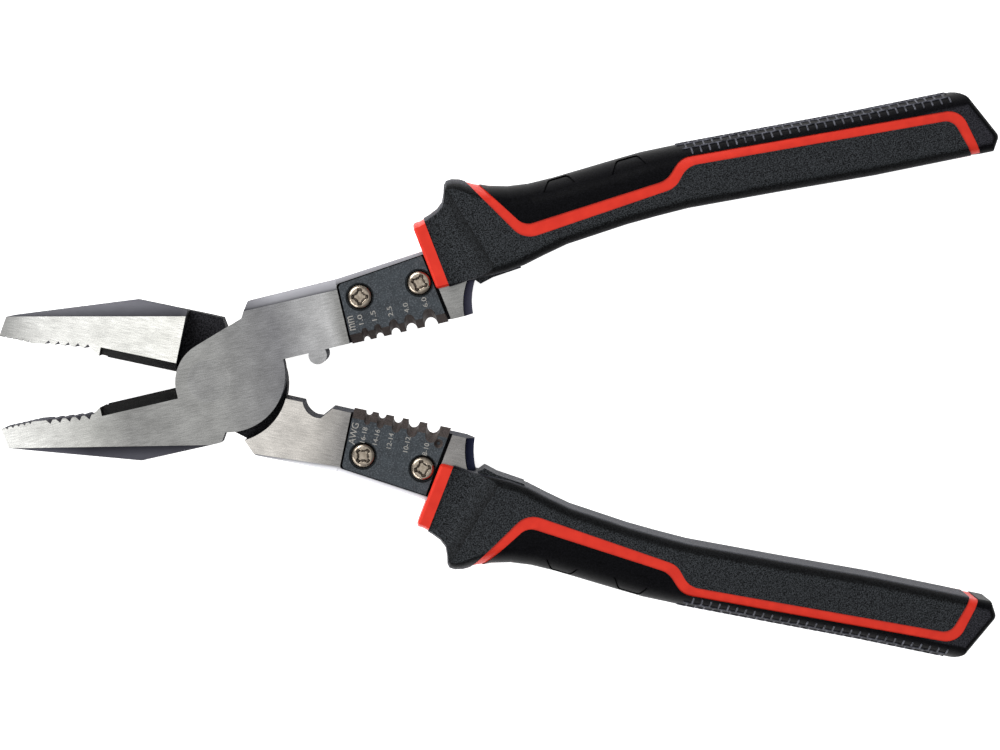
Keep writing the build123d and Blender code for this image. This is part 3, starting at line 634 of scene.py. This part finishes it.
def grained_black():
    """Hard black plastic with a coarse grain."""
    material, tree = new_material("spark_grained_black_polypropylene")
    up = add(tree, "Math", facing_up(tree), operation="ABSOLUTE")
    # painted light by how far the surface faces up: the rounded edges are painted nearly black between
    # lighter painted grey faces and slate sides
    tone = add(tree, "ValToRGB", up, stops=((0.0, "#24252c"), (0.3, "#1f2026"), (0.45, "#09090b"),
                                            (0.9, "#0e0f10"), (0.985, "#222426")))
    grain = mould_grain(tree)
    black_shader = add(tree, "BsdfPrincipled", Base_Color=flecked(tree, tone, grain, 0.1, 2.9),
                       Roughness=0.5, IOR=1.49, Specular_IOR_Level=0.06,
                       Normal=add(tree, "Bump", 0.5, 0.00015, Height=grain))
    add(tree, "OutputMaterial", black_shader)
    return material


def soft_black():
    """Softer black rubber, grained; on the flat end of the grip its level faces are painted slate like the
    shell's, as painted light.
    """
    material, tree = new_material("soft_black_elastomer")
    up = add(tree, "Math", facing_up(tree), operation="ABSOLUTE")
    along_tool = add(tree, "SeparateXYZ", add(tree, "TexCoord").outputs["Object"]).outputs[0]
    # level faces at the grip's end are painted lighter slate: painted light
    flat_end = add(tree, "Math", add(tree, "MapRange", up, 0.9, 0.985),
                   add(tree, "MapRange", along_tool, flat_end_start, flat_end_full), operation="MULTIPLY")
    tone = add(tree, "Mix", flat_end, "#08080a", "#242428", data_type="RGBA")
    grain = mould_grain(tree)
    pad_shader = add(tree, "BsdfPrincipled", Base_Color=flecked(tree, tone, grain, 0.4, 2.2),
                     Roughness=0.4, IOR=1.5, Specular_IOR_Level=0.03,
                     Normal=add(tree, "Bump", 0.15, 0.0001, Height=grain))
    add(tree, "OutputMaterial", pad_shader)
    return material


dress(grained_black(), "front_grip_shell", "rear_grip_shell")
dress(soft_black(), "front_grip_pad", "rear_grip_pad")


# %% [markdown]
# The outer edge of each pad carries a tread of shallow pockets in staggered rows, like brickwork, that
# wrap round the edge. What stands up is the thin rubber net between them: one pocket's share of it is a
# rib at its end and a rib along its outer side. Copies of that pair are set on the pad's elliptical edge,
# each turned to face straight out of the surface and stretched to fill its row, and all of them make one
# light mesh for a grip. The net is painted paler than the pad: a painted highlight on its ribs.

# %% Tread: the material
def net_painted_highlight():
    """Rubber painted paler than the pad as a painted highlight, varying at random."""
    material, tree = new_material("elastomer_net_painted_highlight")
    net_cloud = add(tree, "TexNoise", lever_mm(tree, True), Scale=0.8, Detail=2.0)
    # the pale net is a painted highlight
    colour = add(tree, "ValToRGB", net_cloud, stops=((0.3, "#1e1f24"), (0.7, "#5c5d66")))
    net_shader = add(tree, "BsdfPrincipled", Base_Color=colour, Roughness=0.5, IOR=1.5,
                        Specular_IOR_Level=0.1)
    add(tree, "OutputMaterial", net_shader)
    return material


net = net_painted_highlight()
print(net.name, "ready")

# %% Tread: one pocket
grip_half = 8.8              # half thickness of the grip
pocket_pitch = 2.15          # along the grip
net_width = 2.5              # of one row round the edge, before it is stretched
rib_width, rib_depth = 0.4, 0.9
rib_bevel = 0.12
rib_stand = 0.17             # how far the net stands out of the pad
row_step = radians(20.5)     # from row to row, round the edge
rows = (-2.5, -1.5, -0.5, 0.5, 1.5, 2.5)
tread_start, tread_end = 122.5, 187.0


def pocket_ribs(upper):
    """One pocket's end rib and outer rib as a mesh."""
    ribs = bmesh.new()
    outer_side = net_width / 2 if upper else -net_width / 2
    for size, spot in (((rib_width, net_width, rib_depth), (pocket_pitch / 2, 0, 0)),
                       ((pocket_pitch, rib_width, rib_depth), (0, outer_side, 0))):
        bmesh.ops.create_cube(ribs, size=1.0, matrix=Matrix.Translation(spot) @ Matrix.Diagonal((*size, 1)))
    bmesh.ops.bevel(ribs, geom=ribs.edges, offset=rib_bevel, offset_type="OFFSET", segments=1, profile=0.5,
                    affect="EDGES", material=-1)
    mesh = bpy.data.meshes.new("pocket_ribs")
    ribs.to_mesh(mesh)
    ribs.free()
    return mesh


pocket_meshes = {True: pocket_ribs(True), False: pocket_ribs(False)}
print("one pocket:", len(pocket_meshes[True].polygons), "faces")

# %% [markdown]
# In section the pad's outer edge is half an ellipse, as deep as the edge's rounding and as high as the
# grip. A row lies at one angle round it, so a sine and a cosine give its place and the way it faces. Along
# the grip the edge is nearly straight, and a few stations are enough to follow it.

# %% Tread: the pad's edge
# places along the grip, the outer edge there, and how deep its rounding is
edge_stations = ((121.0, 29.8, 6.0), (144.0, 29.1, 5.0), (166.0, 28.45, 5.0), (186.0, 28.2, 5.0),
                 (200.0, 28.0, 5.0))
cant = {True: (129.0, -0.81), False: (100.0, 0.45)}   # the grips lean a little: turning point and degrees
cant_across = 20.0           # the turning point's place across the lever


def edge_at(x):
    """Outer edge of the pad and the depth of its rounding, at a place along the grip."""
    for (x0, edge0, deep0), (x1, edge1, deep1) in zip(edge_stations, edge_stations[1:]):
        if x0 <= x <= x1:
            share = (x - x0) / (x1 - x0)
            return edge0 + share * (edge1 - edge0), deep0 + share * (deep1 - deep0)


def grip_tread(name, front):
    """All pockets of one grip."""
    tread = bmesh.new()
    turn_x, lean = cant[front]
    lean_matrix = (Matrix.Translation((turn_x, cant_across, 0)) @ Matrix.Rotation(radians(lean), 4, "Z")
                   @ Matrix.Translation((-turn_x, -cant_across, 0)))
    forward = Vector((1, 0, 0))
    for number, row in enumerate(rows):
        angle = row * row_step
        x = tread_start + (pocket_pitch / 2 if number % 2 else 0.0)
        while x < tread_end:
            outer, deep = edge_at(x)
            spot = Vector((x, outer - deep * (1 - cos(angle)), grip_half * sin(angle)))
            outward = Vector((0, grip_half * cos(angle), deep * sin(angle))).normalized()
            row_width = row_step * Vector((deep * sin(angle), grip_half * cos(angle))).length
            axes = Matrix((forward, outward.cross(forward), outward)).transposed().to_4x4()
            fit = Matrix.Diagonal((1, row_width / net_width, 1, 1))
            sunk = spot + outward * (rib_stand - rib_depth / 2)
            before = len(tread.verts)
            tread.from_mesh(pocket_meshes[row > 0])
            tread.verts.ensure_lookup_table()
            bmesh.ops.transform(tread, matrix=lean_matrix @ Matrix.Translation(sunk) @ axes @ fit,
                                verts=tread.verts[before:])
            x += pocket_pitch
    if not front:
        bmesh.ops.scale(tread, vec=(1, -1, 1), verts=tread.verts)
    finish_piece(tread, name, front, (net,))


grip_tread("front_grip_tread", True)
grip_tread("rear_grip_tread", False)
for mesh in pocket_meshes.values():
    bpy.data.meshes.remove(mesh)

# %% [markdown]
# The tool lies on a plain white sheet that glows a little, like a light table, so hardly a shadow is left
# under it.

# %% Floor
floor_mesh = bpy.data.meshes.new("floor")
sheet = bmesh.new()
bmesh.ops.create_grid(sheet, x_segments=1, y_segments=1, size=3.0)
sheet.to_mesh(floor_mesh)
sheet.free()
floor = bpy.data.objects.new("floor", floor_mesh)
bpy.context.collection.objects.link(floor)
paper, tree = new_material("glowing_white_sheet")
fibres = add(tree, "TexNoise", add(tree, "TexCoord").outputs["Object"], Scale=400.0, Detail=2.0)
paper_shader = add(tree, "BsdfPrincipled", Base_Color="#f6f6f6", Roughness=0.9, Emission_Color="#ffffff",
                   Emission_Strength=0.8, Normal=add(tree, "Bump", 0.05, 0.0001, Height=fibres))
add(tree, "OutputMaterial", paper_shader)
floor_mesh.materials.append(paper)
print("floor", floor.dimensions[:2], "m")

# %% [markdown]
# The sky is bright overhead and grey towards the horizon: flat ground faces mirror the bright part, and
# slopes the grey part. Two soft boxes shape the plastics.

# %% Sky and soft boxes
world = bpy.data.worlds.new("studio")
bpy.context.scene.world = world
world.use_nodes = True
sky = world.node_tree
height = add(sky, "SeparateXYZ", add(sky, "TexCoord").outputs["Generated"]).outputs[2]
glow = add(sky, "ValToRGB", height, stops=((0.0, "#8a8a8c"), (0.6, "#909092"), (0.78, "#b4b4b6"),
                                           (0.93, "#ffffff")))
sky.links.new(glow.outputs[0], sky.nodes["Background"].inputs["Color"])
sky.nodes["Background"].inputs["Strength"].default_value = 1.0
bpy.context.scene.view_settings.view_transform = "Standard"


def soft_box(name, place, size, power):
    """An area light aimed at the tool."""
    light = bpy.data.lights.new(name, "AREA")
    light.shape = "RECTANGLE"
    light.size, light.size_y = size
    light.energy = power
    lamp = bpy.data.objects.new(name, light)
    bpy.context.collection.objects.link(lamp)
    lamp.location = place
    lamp.rotation_mode = "QUATERNION"
    lamp.rotation_quaternion = (-Vector(place)).to_track_quat("-Z", "Y")
    print(name, power, "W")


soft_box("key", (-0.5, 0.6, 0.55), (0.8, 0.4), 9)
soft_box("fill", (-0.6, -0.6, 0.5), (0.8, 0.4), 5)
